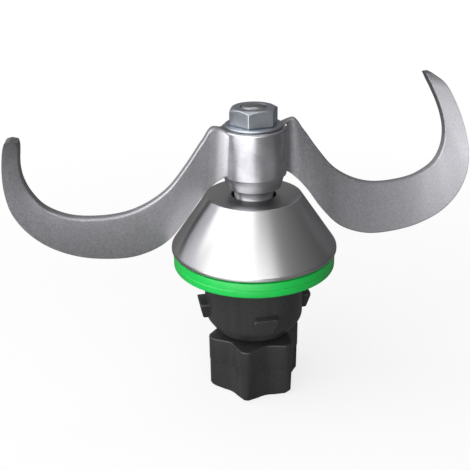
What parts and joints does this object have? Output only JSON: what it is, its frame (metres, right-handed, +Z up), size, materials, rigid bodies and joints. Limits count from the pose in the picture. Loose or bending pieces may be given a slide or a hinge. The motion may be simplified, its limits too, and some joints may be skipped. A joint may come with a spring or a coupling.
{
  "type": "food processor blade",
  "caption": "Upswept sickle blade on a bearing-mounted spindle, with a steel cone cover, green seal ring, bayonet housing and star drive coupling.",
  "frame": {"origin": "on the spindle's axis, at the flat lower end of the drive coupling", "axes": "+Z up along the spindle, +X along the width of the blade, -Y towards the viewer of the picture"},
  "size_m": [0.1398, 0.08, 0.0957],
  "materials": {
    "satin_steel": "satin",
    "polished_steel": "polished",
    "nut_steel": "satin",
    "shaft_steel": "ground",
    "bearing_steel": "polished",
    "green_rubber": "satin",
    "black_rubber": "matt",
    "black_plastic": "satin",
    "cage_plastic": "natural"
  },
  "bodies": {
    "housing": {"bearing_housing": "black_plastic", "cone_cover": "polished_steel", "seal_ring": "green_rubber", "housing_screws": "nut_steel", "shaft_seal": "black_rubber", "seal_spring": "shaft_steel", "outer_sleeve": "shaft_steel", "retaining_ring": "shaft_steel", "upper_outer_ring": "bearing_steel", "lower_outer_ring": "bearing_steel", "upper_upper_shield": "bearing_steel", "upper_lower_shield": "bearing_steel", "lower_upper_shield": "bearing_steel", "lower_lower_shield": "bearing_steel"},
    "rotor": {"blade": "satin_steel", "hex_nut": "nut_steel", "washer": "nut_steel", "spindle": "shaft_steel", "spacer_collar": "satin_steel", "inner_sleeve": "shaft_steel", "upper_inner_ring": "bearing_steel", "lower_inner_ring": "bearing_steel", "drive_coupling": "black_plastic", "coupling_screw": "nut_steel", "coupling_washer": "nut_steel"},
    "upper_ball_set": {"upper_balls": "bearing_steel", "upper_cage": "cage_plastic"},
    "lower_ball_set": {"lower_balls": "bearing_steel", "lower_cage": "cage_plastic"}
  },
  "joints": [
    {"name": "rotor_spin", "type": "hinge", "parent": "housing", "child": "rotor", "pos_m": [0, 0, 0.0413], "axis": [0, 0, 1], "continuous": true},
    {"name": "upper_cage_spin", "type": "hinge", "parent": "housing", "child": "upper_ball_set", "pos_m": [0, 0, 0.0538], "axis": [0, 0, 1], "continuous": true},
    {"name": "lower_cage_spin", "type": "hinge", "parent": "housing", "child": "lower_ball_set", "pos_m": [0, 0, 0.0283], "axis": [0, 0, 1], "continuous": true}
  ],
  "couplings": [
    {"joint": "upper_cage_spin", "follows": "rotor_spin", "ratio": 0.403},
    {"joint": "lower_cage_spin", "follows": "rotor_spin", "ratio": 0.403}
  ]
}
